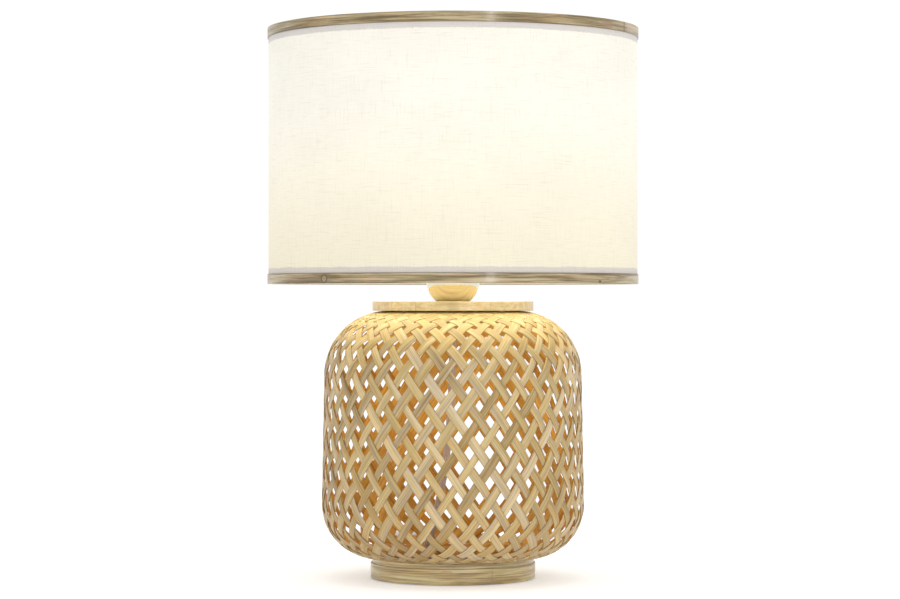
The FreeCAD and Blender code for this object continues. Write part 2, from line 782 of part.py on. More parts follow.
# ---- in-line switch ----
def switch_shell():
    """The housing's outer shape, with rounded corners and a rounded top."""
    half_w = SWITCH_W / 2
    y1 = SWITCH_Y0 + SWITCH_L
    shell = block(SWITCH_X - half_w, SWITCH_X + half_w, SWITCH_Y0, y1, 0, SWITCH_H)
    uprights = [e for e in shell.Edges if abs(e.CenterOfMass.z - SWITCH_H / 2) < 0.01]
    shell = shell.makeFillet(SWITCH_CORNER, uprights)
    top_edges = [e for e in shell.Edges if e.CenterOfMass.z > SWITCH_H - 0.01]
    return shell.makeFillet(SWITCH_EDGE, top_edges)


def switch_hollow():
    wall = SWITCH_WALL
    half_w = SWITCH_W / 2 - wall
    y0 = SWITCH_Y0 + wall
    y1 = SWITCH_Y0 + SWITCH_L - wall
    hollow = block(SWITCH_X - half_w, SWITCH_X + half_w, y0, y1, wall, SWITCH_H - wall)
    entry_start = V(SWITCH_X, SWITCH_Y0 - 1, GLAND_Z)
    entry = Part.makeCylinder(CORD_R + THREAD_FIT, SWITCH_L + 2, entry_start, V(0, 1, 0))
    return hollow.fuse(entry)


def post_spots():
    return [
        (SWITCH_X - SWITCH_POST_X, SWITCH_MID_Y - SWITCH_POST_Y),
        (SWITCH_X + SWITCH_POST_X, SWITCH_MID_Y + SWITCH_POST_Y),
    ]


def switch_base():
    split = GLAND_Z
    lower = block(SWITCH_X - SWITCH_W, SWITCH_X + SWITCH_W, 0, 2 * SWITCH_MID_Y, 0, split)
    base = switch_shell().cut(switch_hollow()).common(lower)
    for x, y in post_spots():
        base = base.fuse(cylinder(SWITCH_POST_R, SWITCH_WALL / 2, split, x, y))
    for x, y in post_spots():
        head_top = SWITCH_SCREW_HEAD_H + SWITCH_WALL / 4
        base = base.cut(cylinder(SWITCH_SCREW_HEAD_R + HOLE_FIT, 0, head_top, x, y))
        base = base.cut(cylinder(SWITCH_SCREW_R + HOLE_FIT, 0, split, x, y))
    return base


def switch_cover():
    split = GLAND_Z
    upper = block(SWITCH_X - SWITCH_W, SWITCH_X + SWITCH_W, 0, 2 * SWITCH_MID_Y, split, SWITCH_H)
    cover = switch_shell().cut(switch_hollow()).common(upper)
    for x, y in post_spots():
        post = cylinder(SWITCH_POST_R, split, SWITCH_H - SWITCH_WALL / 2, x, y)
        cover = cover.fuse(post).cut(cylinder(SWITCH_SCREW_R + GLUE, split, split + SWITCH_SCREW_GRIP, x, y))
    window_w = ROCKER_W / 2 + LOOSE
    window_l = ROCKER_R + LOOSE
    y0 = SWITCH_MID_Y - window_l
    y1 = SWITCH_MID_Y + window_l
    for side in (-1, 1):
        inner = SWITCH_X + side * window_w
        outer = inner + side * CHEEK_T
        low_x, high_x = min(inner, outer), max(inner, outer)
        cheek = block(low_x, high_x, y0 + 4, y1 - 4, SWITCH_H - CHEEK_DROP, SWITCH_H - SWITCH_WALL / 2)
        cover = cover.fuse(cheek)
    window = block(SWITCH_X - window_w, SWITCH_X + window_w, y0, y1, split, SWITCH_H + 1)
    cover = cover.cut(window)
    bore_half = window_w + CHEEK_T + 1
    bore_start = V(SWITCH_X - bore_half, SWITCH_MID_Y, ROCKER_Z)
    return cover.cut(Part.makeCylinder(TRUNNION_R + RUN_FIT, 2 * bore_half, bore_start, V(1, 0, 0)))


def switch_rocker():
    """The rocker at its on position: its top is a shallow V, its ends are round about the pivot."""
    rise = ROCKER_R * math.tan(math.radians(ROCKER_TILT))
    half_w = ROCKER_W / 2
    x0 = SWITCH_X - half_w
    corners = [
        V(x0, -ROCKER_R, -ROCKER_UNDER), V(x0, ROCKER_R, -ROCKER_UNDER),
        V(x0, ROCKER_R, ROCKER_TOP + rise), V(x0, 0, ROCKER_TOP), V(x0, -ROCKER_R, ROCKER_TOP + rise),
    ]
    body = Part.Face(Part.makePolygon(corners + corners[:1])).extrude(V(ROCKER_W, 0, 0))
    body = body.common(Part.makeCylinder(ROCKER_R, ROCKER_W, V(x0, 0, 0), V(1, 0, 0)))
    reach = half_w + LOOSE + CHEEK_T - GLUE
    pin = Part.makeCylinder(TRUNNION_R, 2 * reach, V(SWITCH_X - reach, 0, 0), V(1, 0, 0))
    rocker = body.fuse(pin)
    rocker.rotate(ORIGIN, V(1, 0, 0), -ROCKER_TILT)
    rocker.translate(V(0, SWITCH_MID_Y, ROCKER_Z))
    return rocker


def switch_strips():
    """Two upright brass strips beside the cores, under the rocker."""
    strips = []
    y0 = SWITCH_MID_Y - STRIP_L / 2
    for side in (-1, 1):
        x = SWITCH_X + side * STRIP_X
        strip = block(x - STRIP_T / 2, x + STRIP_T / 2, y0, y0 + STRIP_L, SWITCH_WALL, STRIP_TOP)
        strips.append(strip)
    return Part.makeCompound(strips)


def switch_screws():
    screws = []
    low = SWITCH_WALL / 4
    for x, y in post_spots():
        head = cylinder(SWITCH_SCREW_HEAD_R, low, low + SWITCH_SCREW_HEAD_H, x, y)
        screws.append(head.fuse(cylinder(SWITCH_SCREW_R, low, GLAND_Z + SWITCH_SCREW_GRIP - 1, x, y)))
    return Part.makeCompound(screws)


# ---- plug ----
PLUG_BACK_Y = PLUG_TAIL_Y - PLUG_RELIEF_L
PLUG_FACE_Y = PLUG_BACK_Y - PLUG_L


def pin_places():
    return [PLUG_X - PIN_SPACING / 2, PLUG_X + PIN_SPACING / 2]


def plug_body():
    half_w = PLUG_W / 2
    half_neck = PLUG_NECK_W / 2
    shoulder_y = PLUG_FACE_Y + PLUG_SHOULDER_L
    corners = [
        V(PLUG_X - half_w, PLUG_FACE_Y, 0), V(PLUG_X + half_w, PLUG_FACE_Y, 0),
        V(PLUG_X + half_w, shoulder_y, 0), V(PLUG_X + half_neck, PLUG_BACK_Y, 0),
        V(PLUG_X - half_neck, PLUG_BACK_Y, 0), V(PLUG_X - half_w, shoulder_y, 0),
    ]
    body = Part.Face(Part.makePolygon(corners + corners[:1])).extrude(V(0, 0, PLUG_T))
    uprights = [e for e in body.Edges if abs(e.tangentAt(e.FirstParameter).z) > 0.9]
    body = body.makeFillet(PLUG_CORNER, uprights)
    loops = [e for e in body.Edges if abs(e.CenterOfMass.z - PLUG_T / 2) > PLUG_T / 2 - 0.01]
    body = body.makeFillet(PLUG_EDGE, loops)
    relief_start = V(PLUG_X, PLUG_BACK_Y - 1, PLUG_T / 2)
    relief = Part.makeCone(PLUG_RELIEF_R, RELIEF_TIP_R, PLUG_RELIEF_L + 1, relief_start, V(0, 1, 0))
    body = body.fuse(relief)
    for x in pin_places():
        hole_start = V(x, PLUG_FACE_Y, PLUG_T / 2)
        body = body.cut(Part.makeCylinder(PIN_CORE_R + GLUE, PIN_SINK, hole_start, V(0, 1, 0)))
    return body


def plug_pins():
    pins = []
    for x in pin_places():
        tip_y = PLUG_FACE_Y - PIN_L
        ball = Part.makeSphere(PIN_R, V(x, tip_y + PIN_R, PLUG_T / 2))
        bare = bar(PIN_R, V(x, tip_y + PIN_R, PLUG_T / 2), V(x, tip_y + PIN_BARE_L, PLUG_T / 2))
        core = bar(PIN_CORE_R, V(x, tip_y + PIN_BARE_L / 2, PLUG_T / 2), V(x, PLUG_FACE_Y + PIN_SINK, PLUG_T / 2))
        pins.append(ball.fuse(bare).fuse(core))
    return Part.makeCompound(pins)


def pin_sleeves():
    sleeves = []
    for x in pin_places():
        low = V(x, PLUG_FACE_Y - PIN_L + PIN_BARE_L, PLUG_T / 2)
        high = V(x, PLUG_FACE_Y, PLUG_T / 2)
        sleeves.append(bar(SLEEVE_R, low, high).cut(bar(PIN_CORE_R + GLUE, low, high)))
    return Part.makeCompound(sleeves)


NODES = {
    "foot_band": foot_band,
    "foot_ring": foot_ring,
    "base_felt": base_felt,
    "base_board": base_board,
    "ballast_plate": ballast_plate,
    "ballast_screws": ballast_screws,
    "woven_body": woven_body,
    "mouth_hoop": mouth_hoop,
    "disc_screws": disc_screws,
    "top_disc": top_disc,
    "lamp_tube": lamp_tube,
    "tube_washer": tube_washer,
    "tube_nut": tube_nut,
    "ball_neck": ball_neck,
    "holder_cap": holder_cap,
    "holder_skirt": holder_skirt,
    "holder_insert": holder_insert,
    "screw_contact": screw_contact,
    "centre_contact": centre_contact,
    "terminal_screws": terminal_screws,
    "lead_cores": lead_cores,
    "shade_collar": shade_collar,
    "bulb_tip": bulb_tip,
    "bulb_insulator": bulb_insulator,
    "bulb_cap": bulb_cap,
    "bulb_housing": bulb_housing,
    "bulb_dome": bulb_dome,
    "bottom_rim_band": lambda: rim_band(SHADE_LOW),
    "top_rim_band": lambda: rim_band(SHADE_TOP - RIM_BAND_H),
    "shade_fabric": shade_fabric,
    "shade_liner": shade_liner,
    "bottom_hem": lambda: hem(SHADE_LOW),
    "top_hem": lambda: hem(SHADE_TOP - HEM_H),
    "top_wire_ring": lambda: wire_ring(SHADE_TOP - WIRE_IN),
    "spider_frame": spider_frame,
    "cord_gland": cord_gland,
    "inner_lead": inner_lead,
    "cord_to_switch": cord_to_switch,
    "cord_to_coil": cord_to_coil,
    "cord_coil": cord_coil,
    "cord_tie": cord_tie,
    "cord_to_plug": cord_to_plug,
    "switch_base": switch_base,
    "switch_cover": switch_cover,
    "switch_rocker": switch_rocker,
    "switch_strips": switch_strips,
    "switch_screws": switch_screws,
    "plug_body": plug_body,
    "plug_pins": plug_pins,
    "pin_sleeves": pin_sleeves,
}

os.makedirs("parts", exist_ok=True)
for name, make in NODES.items():
    shape = make()
    print(f"{name}: {len(shape.Solids)} solids, valid {shape.isValid()}, volume {shape.Volume:.0f}")
    shape.exportStep(f"parts/{name}.step")
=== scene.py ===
"""Looks of the bamboo table lamp: woven strips, linen shade, bamboo bands, brass ball neck and mains lead.

Metres, +Z up, front towards -Y, origin at the middle of the foot's underside.
"""

import json
import math
import random

import bpy
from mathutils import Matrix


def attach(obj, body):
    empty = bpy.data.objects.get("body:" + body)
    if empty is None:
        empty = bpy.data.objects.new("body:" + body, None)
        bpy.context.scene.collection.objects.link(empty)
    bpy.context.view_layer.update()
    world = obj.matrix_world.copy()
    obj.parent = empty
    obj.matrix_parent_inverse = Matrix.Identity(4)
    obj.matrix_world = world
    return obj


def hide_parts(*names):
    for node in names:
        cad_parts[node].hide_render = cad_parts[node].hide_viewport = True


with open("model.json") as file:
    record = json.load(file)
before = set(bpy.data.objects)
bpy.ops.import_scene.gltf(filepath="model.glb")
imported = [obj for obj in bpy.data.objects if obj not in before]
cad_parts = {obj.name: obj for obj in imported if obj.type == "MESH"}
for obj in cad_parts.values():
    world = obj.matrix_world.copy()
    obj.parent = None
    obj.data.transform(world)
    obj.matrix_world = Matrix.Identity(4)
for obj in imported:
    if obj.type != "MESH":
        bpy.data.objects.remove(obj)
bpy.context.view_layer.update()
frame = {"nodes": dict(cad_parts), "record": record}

MM = 0.001
SCENE = bpy.context.scene

# Sizes of the lamp, in millimetres.
SHADE_LOW = 237.5
SHADE_HIGH = 443.5
BAND_H = 8.0
HEM_SHOWS = 4.5      # how much of the fabric's folded edge shows beside each band
BULB_HEIGHT = 367.0
FOOT_OUT = 66.7
RIM_OUT = 150.0
SLAT_W = 14.5
SLATS_FROM = 14 * SLAT_W    # slats are counted from here, well outside the disc


# ---------------------------------------------------------------- camera
LENS = 110.56
CAMERA_PLACE = (-0.0024, -2.24, 0.225)


def make_camera():
    data = bpy.data.cameras.new("camera")
    data.sensor_width = 36.0
    data.lens = LENS
    data.clip_start = 0.05
    data.clip_end = 60.0
    camera = bpy.data.objects.new("camera", data)
    camera.location = CAMERA_PLACE
    camera.rotation_euler = (math.radians(90), 0, 0)
    SCENE.collection.objects.link(camera)
    SCENE.camera = camera


# ---------------------------------------------------------------- free lead
CORD_R = 3.0
CORD_TO_SWITCH = [
    (-44.35, 76.82, 9.0),
    (-49.0, 84.9, 9.0),
    (-51.8, 94.0, 8.8),
    (-52.8, 103.0, 8.9),
    (-53.0, 112.0, 9.0),
]
CORD_TO_COIL = [
    (-53.0, 168.0, 9.0),
    (-53.1, 175.0, 8.6),
    (-53.1, 183.0, 6.9),
    (-53.0, 190.0, 5.0),
]
CORD_TO_PLUG = [
    (27.0, 192.0, 15.6),
    (27.3, 181.0, 13.9),
    (28.2, 169.0, 10.4),
    (28.9, 159.0, 7.8),
    (29.0, 150.0, 7.0),
]
COIL_CENTRE = (-13.0, 202.0)
COIL_TURNS = [
    (40.0, 3.7), (34.0, 3.7), (28.0, 3.7), (28.0, 9.7),
    (34.0, 9.7), (34.0, 15.7), (40.0, 9.7), (40.0, 15.7),
]
POINTS_PER_TURN = 24
HALF_TURNS = 15
CLIMB_FROM = 0.55    # share of a turn after which the lead moves over to the next turn's place


def ease(t):
    t = min(max(t, 0.0), 1.0)
    return t * t * (3 - 2 * t)


def coil_points():
    """The lead's turns, clockwise from the coil's left side to its right side."""
    points = []
    for k in range(1, HALF_TURNS * POINTS_PER_TURN // 2):
        turn, step = divmod(k, POINTS_PER_TURN)
        here = COIL_TURNS[turn]
        after = COIL_TURNS[min(turn + 1, len(COIL_TURNS) - 1)]
        share = ease((step / POINTS_PER_TURN - CLIMB_FROM) / (1 - CLIMB_FROM))
        radius = here[0] + share * (after[0] - here[0])
        height = here[1] + share * (after[1] - here[1])
        angle = math.pi - 2 * math.pi * k / POINTS_PER_TURN
        x = COIL_CENTRE[0] + radius * math.cos(angle)
        y = COIL_CENTRE[1] + radius * math.sin(angle)
        points.append((x, y, height))
    return points


def make_cord():
    route = CORD_TO_SWITCH + CORD_TO_COIL + coil_points() + CORD_TO_PLUG
    data = bpy.data.curves.new("free_lead", "CURVE")
    data.dimensions = "3D"
    data.resolution_u = 6
    data.bevel_depth = 1.0
    data.bevel_resolution = 5
    data.use_fill_caps = True
    spline = data.splines.new("NURBS")
    spline.points.add(len(route) - 1)
    for point, (x, y, z) in zip(spline.points, route):
        point.co = (x * MM, y * MM, z * MM, 1)
        point.radius = CORD_R * MM
    spline.order_u = 3
    spline.use_endpoint_u = True
    lead = bpy.data.objects.new("free_lead", data)
    SCENE.collection.objects.link(lead)
    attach(lead, "base")
    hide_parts("cord_to_switch", "cord_to_coil", "cord_coil", "cord_to_plug")
    return lead


make_camera()
free_lead = make_cord()


# ---------------------------------------------------------------- node helpers
class Shader:
    """A material's node tree with short calls to add nodes to it."""

    def __init__(self, name):
        self.material = bpy.data.materials.new(name)
        self.material.use_nodes = True
        self.tree = self.material.node_tree
        self.tree.nodes.clear()
        self.output = self.tree.nodes.new("ShaderNodeOutputMaterial")

    def link(self, source, target):
        self.tree.links.new(source, target)

    def put(self, target, value):
        """A number, a colour or another node's output into a socket."""
        if isinstance(value, bpy.types.NodeSocket):
            self.link(value, target)
        else:
            target.default_value = value

    def node(self, kind, **settings):
        made = self.tree.nodes.new(kind)
        for key, value in settings.items():
            setattr(made, key, value)
        return made

    def position(self):
        """The point on the piece, in millimetres."""
        coords = self.node("ShaderNodeTexCoord")
        return self.scaled(coords.outputs["Object"], (1000, 1000, 1000))

    def attribute(self, name):
        return self.node("ShaderNodeAttribute", attribute_name=name)

    def scaled(self, vector, factors):
        made = self.node("ShaderNodeVectorMath", operation="MULTIPLY")
        self.put(made.inputs[0], vector)
        self.put(made.inputs[1], factors)
        return made.outputs[0]

    def split(self, vector):
        made = self.node("ShaderNodeSeparateXYZ")
        self.put(made.inputs[0], vector)
        return made.outputs

    def join(self, x, y, z):
        made = self.node("ShaderNodeCombineXYZ")
        self.put(made.inputs[0], x)
        self.put(made.inputs[1], y)
        self.put(made.inputs[2], z)
        return made.outputs[0]

    def math(self, operation, a, b=0.0, c=0.0, clamp=False):
        made = self.node("ShaderNodeMath", operation=operation, use_clamp=clamp)
        self.put(made.inputs[0], a)
        self.put(made.inputs[1], b)
        self.put(made.inputs[2], c)
        return made.outputs[0]

    def spread(self, value, low, high, to_low=0.0, to_high=1.0):
        """Value from low..high turned smoothly into to_low..to_high."""
        made = self.node("ShaderNodeMapRange", interpolation_type="SMOOTHSTEP")
        self.put(made.inputs[0], value)
        for socket, number in zip(made.inputs[1:5], (low, high, to_low, to_high)):
            socket.default_value = number
        return made.outputs[0]

    def noise(self, vector, scale=1.0, detail=3.0, roughness=0.55):
        made = self.node("ShaderNodeTexNoise")
        self.put(made.inputs["Vector"], vector)
        made.inputs["Scale"].default_value = scale
        made.inputs["Detail"].default_value = detail
        made.inputs["Roughness"].default_value = roughness
        return made.outputs["Fac"]

    def stretched(self, vector, factors, detail=3.0, roughness=0.55):
        """Noise that is drawn out along the axes with small factors."""
        return self.noise(self.scaled(vector, factors), 1.0, detail, roughness)

    def mix(self, share, a, b, blend="MIX"):
        made = self.node("ShaderNodeMix", data_type="RGBA", blend_type=blend)
        self.put(made.inputs[0], share)
        self.put(made.inputs[6], colour(a))
        self.put(made.inputs[7], colour(b))
        return made.outputs[2]

    def ramp(self, value, stops):
        made = self.node("ShaderNodeValToRGB")
        self.put(made.inputs[0], value)
        band = made.color_ramp
        while len(band.elements) < len(stops):
            band.elements.new(0.5)
        for element, (place, tint) in zip(band.elements, stops):
            element.position = place
            element.color = colour(tint)
        return made.outputs[0]

    def bump(self, height, strength, distance):
        made = self.node("ShaderNodeBump")
        made.inputs["Strength"].default_value = strength
        made.inputs["Distance"].default_value = distance * MM
        self.put(made.inputs["Height"], height)
        return made.outputs[0]

    def surface(self, base, roughness=0.5, normal=None, **constants):
        """A Principled surface. Constants go straight on its own sockets."""
        made = self.node("ShaderNodeBsdfPrincipled")
        self.put(made.inputs["Base Color"], colour(base))
        self.put(made.inputs["Roughness"], roughness)
        if normal is not None:
            self.put(made.inputs["Normal"], normal)
        for key, value in constants.items():
            made.inputs[key.replace("_", " ")].default_value = value
        return made

    def finish(self, shader):
        self.link(shader, self.output.inputs["Surface"])
        return self.material


def colour(value):
    """Red, green and blue with a full alpha added. Sockets pass through."""
    if isinstance(value, tuple) and len(value) == 3:
        return (*value, 1.0)
    return value


def sum_of_squares(shader, a, b):
    return shader.math("ADD", shader.math("MULTIPLY", a, a), shader.math("MULTIPLY", b, b))


def round_coords(shader):
    """Millimetres round the axis (seam at the back), height, and radius."""
    x, y, z = shader.split(shader.position())
    front = shader.math("MULTIPLY", y, -1.0)
    angle = shader.math("ARCTAN2", x, front)
    radius = shader.math("SQRT", sum_of_squares(shader, x, y))
    return angle, shader.math("MULTIPLY", angle, radius), z, radius


# ---------------------------------------------------------------- materials
def bamboo_grain(shader, along, across, depth, pale, mid, dark):
    """Colour, height and roughness of split bamboo whose fibres run along the first coordinate."""
    vector = shader.join(along, across, depth)
    broad = shader.stretched(vector, (0.014, 0.35, 0.35), 3.0)
    fibre = shader.stretched(vector, (0.025, 1.1, 1.1), 4.0, 0.7)
    pores = shader.stretched(vector, (0.08, 3.0, 3.0), 2.0, 0.6)
    patch = shader.stretched(vector, (0.034, 0.11, 0.11), 2.0, 0.5)
    tone = shader.math("ADD", shader.math("MULTIPLY", broad, 0.62), shader.math("MULTIPLY", fibre, 0.38))
    tint = shader.ramp(tone, [(0.42, dark), (0.50, mid), (0.58, pale)])
    ruddy = shader.ramp(patch, [
        (0.36, (1.06, 0.985, 0.86)), (0.50, (1.0, 1.0, 0.97)), (0.64, (0.95, 0.97, 0.88)),
    ])
    tint = shader.mix(1.0, tint, ruddy, "MULTIPLY")
    streak = shader.spread(pores, 0.30, 0.44, 0.62, 1.0)
    tint = shader.mix(0.75, tint, shader.mix(streak, (0.42, 0.26, 0.12), (1.0, 1.0, 1.0)), "MULTIPLY")
    height = shader.math("ADD", shader.math("MULTIPLY", fibre, 0.7), shader.math("MULTIPLY", pores, 0.5))
    rough = shader.spread(fibre, 0.3, 0.7, 0.34, 0.52)
    return tint, height, rough


def mark_share(shader, off, up, half_long, half_high, ring):
    """1 inside an oval mark and 0 outside it, or, for a ring, 1 only along its outline."""
    sideways = shader.math("DIVIDE", off, half_long)
    upward = shader.math("DIVIDE", up, half_high)
    squares = sum_of_squares(shader, sideways, upward)
    inside = shader.spread(squares, 0.45, 1.2, 1.0, 0.0)
    if not ring:
        return inside
    outline = shader.math("ABSOLUTE", shader.math("SUBTRACT", squares, 1.0))
    return shader.spread(outline, 0.12, 0.50, 1.0, 0.0)


def lacquered(shader, tint, rough, normal):
    coated = shader.surface(tint, rough, normal, Coat_Weight=0.50, Coat_Roughness=0.15)
    return shader.finish(coated.outputs[0])


def turned_bamboo(name, palette, marks=(), edges=()):
    """Bamboo bent or turned round the lamp's axis.

    Marks are (angle, height, half length, half height, tint, strength, ring).
    Edges are heights with a dark line; on the rim bands it is a painted shadow line where the band stands
    proud of the linen.
    """
    shader = Shader(name)
    angle, along, z, radius = round_coords(shader)
    tint, height, rough = bamboo_grain(shader, along, z, radius, *palette)
    for mark_angle, mark_z, half_long, half_high, mark_tint, strength, ring in marks:
        off = shader.math("MULTIPLY", shader.math("SUBTRACT", angle, mark_angle), radius)
        up = shader.math("SUBTRACT", z, mark_z)
        share = mark_share(shader, off, up, half_long, half_high, ring)
        tint = shader.mix(shader.math("MULTIPLY", share, strength), tint, mark_tint)
    # dark lines along the given heights; on the rim bands these are painted shadow lines
    for edge in edges:
        off = shader.math("ABSOLUTE", shader.math("SUBTRACT", z, edge))
        tint = shader.mix(shader.spread(off, 0.25, 0.75, 0.75, 0.0), tint, (0.10, 0.065, 0.035))
    return lacquered(shader, tint, rough, shader.bump(height, 0.35, 0.12))


def board_bamboo(name, palette):
    """A board glued up from straight bamboo slats that lie side by side."""
    shader = Shader(name)
    x, y, z = shader.split(shader.position())
    slat = shader.math("FLOOR", shader.math("DIVIDE", shader.math("ADD", y, SLATS_FROM), SLAT_W))
    offset = shader.math("MULTIPLY", slat, 57.3)
    tint, height, rough = bamboo_grain(shader, shader.math("ADD", x, offset), y, z, *palette)
    tone = shader.node("ShaderNodeTexWhiteNoise", noise_dimensions="1D")
    shader.put(tone.inputs["W"], slat)
    level = shader.spread(tone.outputs["Value"], 0.0, 1.0, 0.94, 1.04)
    tint = shader.mix(1.0, tint, shader.join(level, level, level), "MULTIPLY")
    folded = shader.math("PINGPONG", y, SLAT_W / 2)
    place = shader.math("ABSOLUTE", shader.math("SUBTRACT", folded, SLAT_W / 4))
    joint = shader.spread(place, SLAT_W / 4 - 0.35, SLAT_W / 4, 0.0, 0.35)
    tint = shader.mix(joint, tint, (0.30, 0.20, 0.09))
    return lacquered(shader, tint, rough, shader.bump(height, 0.30, 0.10))


def front_angle(x, radius):
    """Angle round the axis, from the front, of a point on the front at that distance to the right."""
    return math.asin(x / radius)


def weave_bamboo():
    """Split bamboo strips. The strip attribute holds mm along, mm across and a tone from 0 to 1."""
    shader = Shader("woven_bamboo_look")
    coords = shader.attribute("strip").outputs["Vector"]
    along, across, tone = shader.split(coords)
    offset = shader.math("MULTIPLY", tone, 340.0)
    vector = shader.join(shader.math("ADD", along, offset), shader.math("ADD", across, offset), offset)
    broad = shader.stretched(vector, (0.012, 0.16, 0.5), 3.0)
    fibre = shader.stretched(vector, (0.016, 0.85, 1.0), 4.0, 0.7)
    pores = shader.stretched(vector, (0.05, 2.6, 1.0), 2.0, 0.6)
    mixed = shader.math("ADD", shader.math("MULTIPLY", broad, 0.35), shader.math("MULTIPLY", fibre, 0.50))
    mixed = shader.math("ADD", mixed, shader.math("MULTIPLY", tone, 0.15))
    tint = shader.ramp(mixed, [
        (0.36, (0.36, 0.24, 0.095)), (0.44, (0.55, 0.41, 0.19)),
        (0.53, (0.68, 0.55, 0.30)), (0.62, (0.84, 0.73, 0.50)),
    ])
    hue = shader.stretched(vector, (0.010, 0.22, 0.13), 2.0)
    hue = shader.ramp(hue, [
        (0.37, (1.03, 0.95, 0.69)), (0.50, (1.0, 0.985, 0.86)), (0.63, (0.93, 0.93, 1.03)),
    ])
    tint = shader.mix(1.0, tint, hue, "MULTIPLY")
    _, _, z = shader.split(shader.position())
    # painted glow: the strips' inner faces are tinted orange, standing in for the bulb's light coming
    # through the strips
    inner = shader.attribute("inner").outputs["Fac"]
    tint = shader.mix(inner, tint, shader.mix(1.0, tint, (1.0, 0.88, 0.50), "MULTIPLY"))
    # painted shade: the weave is drawn darker towards the bottom, where less light falls
    shade = shader.spread(z, 20.0, 130.0, 1.0, 0.0)
    tint = shader.mix(shade, tint, shader.mix(1.0, tint, (0.93, 0.89, 0.86), "MULTIPLY"))
    # painted light: the crown under the shade is drawn brighter and yellower, standing in for the bulb's
    # light falling on it
    crown = shader.spread(z, 172.0, 210.0)
    painted_crown_light = shader.mix(0.35, shader.mix(1.0, tint, (1.20, 1.23, 0.98), "MULTIPLY"), (0.86, 0.71, 0.38))
    tint = shader.mix(crown, tint, painted_crown_light)
    streak = shader.spread(pores, 0.30, 0.44, 0.40, 1.0)
    tint = shader.mix(0.7, tint, shader.mix(streak, (0.45, 0.27, 0.12), (1.0, 1.0, 1.0)), "MULTIPLY")
    edge = shader.spread(shader.math("ABSOLUTE", across), 2.8, 3.35, 1.0, 0.78)
    tint = shader.mix(1.0, tint, shader.join(edge, edge, edge), "MULTIPLY")
    height = shader.math("ADD", shader.math("MULTIPLY", fibre, 0.7), shader.math("MULTIPLY", pores, 0.4))
    normal = shader.bump(height, 0.35, 0.10)
    rough = shader.spread(fibre, 0.3, 0.7, 0.36, 0.56)
    solid = shader.surface(tint, rough, normal, Coat_Weight=0.30, Coat_Roughness=0.30)
    through = shader.node("ShaderNodeBsdfTranslucent")
    shader.put(through.inputs["Color"], shader.mix(1.0, tint, (1.0, 0.66, 0.22), "MULTIPLY"))
    both = shader.node("ShaderNodeMixShader")
    both.inputs[0].default_value = 0.22
    shader.link(solid.outputs[0], both.inputs[1])
    shader.link(through.outputs[0], both.inputs[2])
    return shader.finish(both.outputs[0])


def bulb_falloff(shader, height, reach):
    """A bell curve over the height, 1 beside the bulb."""
    from_bulb = shader.math("DIVIDE", shader.math("SUBTRACT", height, BULB_HEIGHT), reach)
    squared = shader.math("MULTIPLY", from_bulb, from_bulb)
    return shader.math("POWER", 2.718, shader.math("MULTIPLY", squared, -1.0))


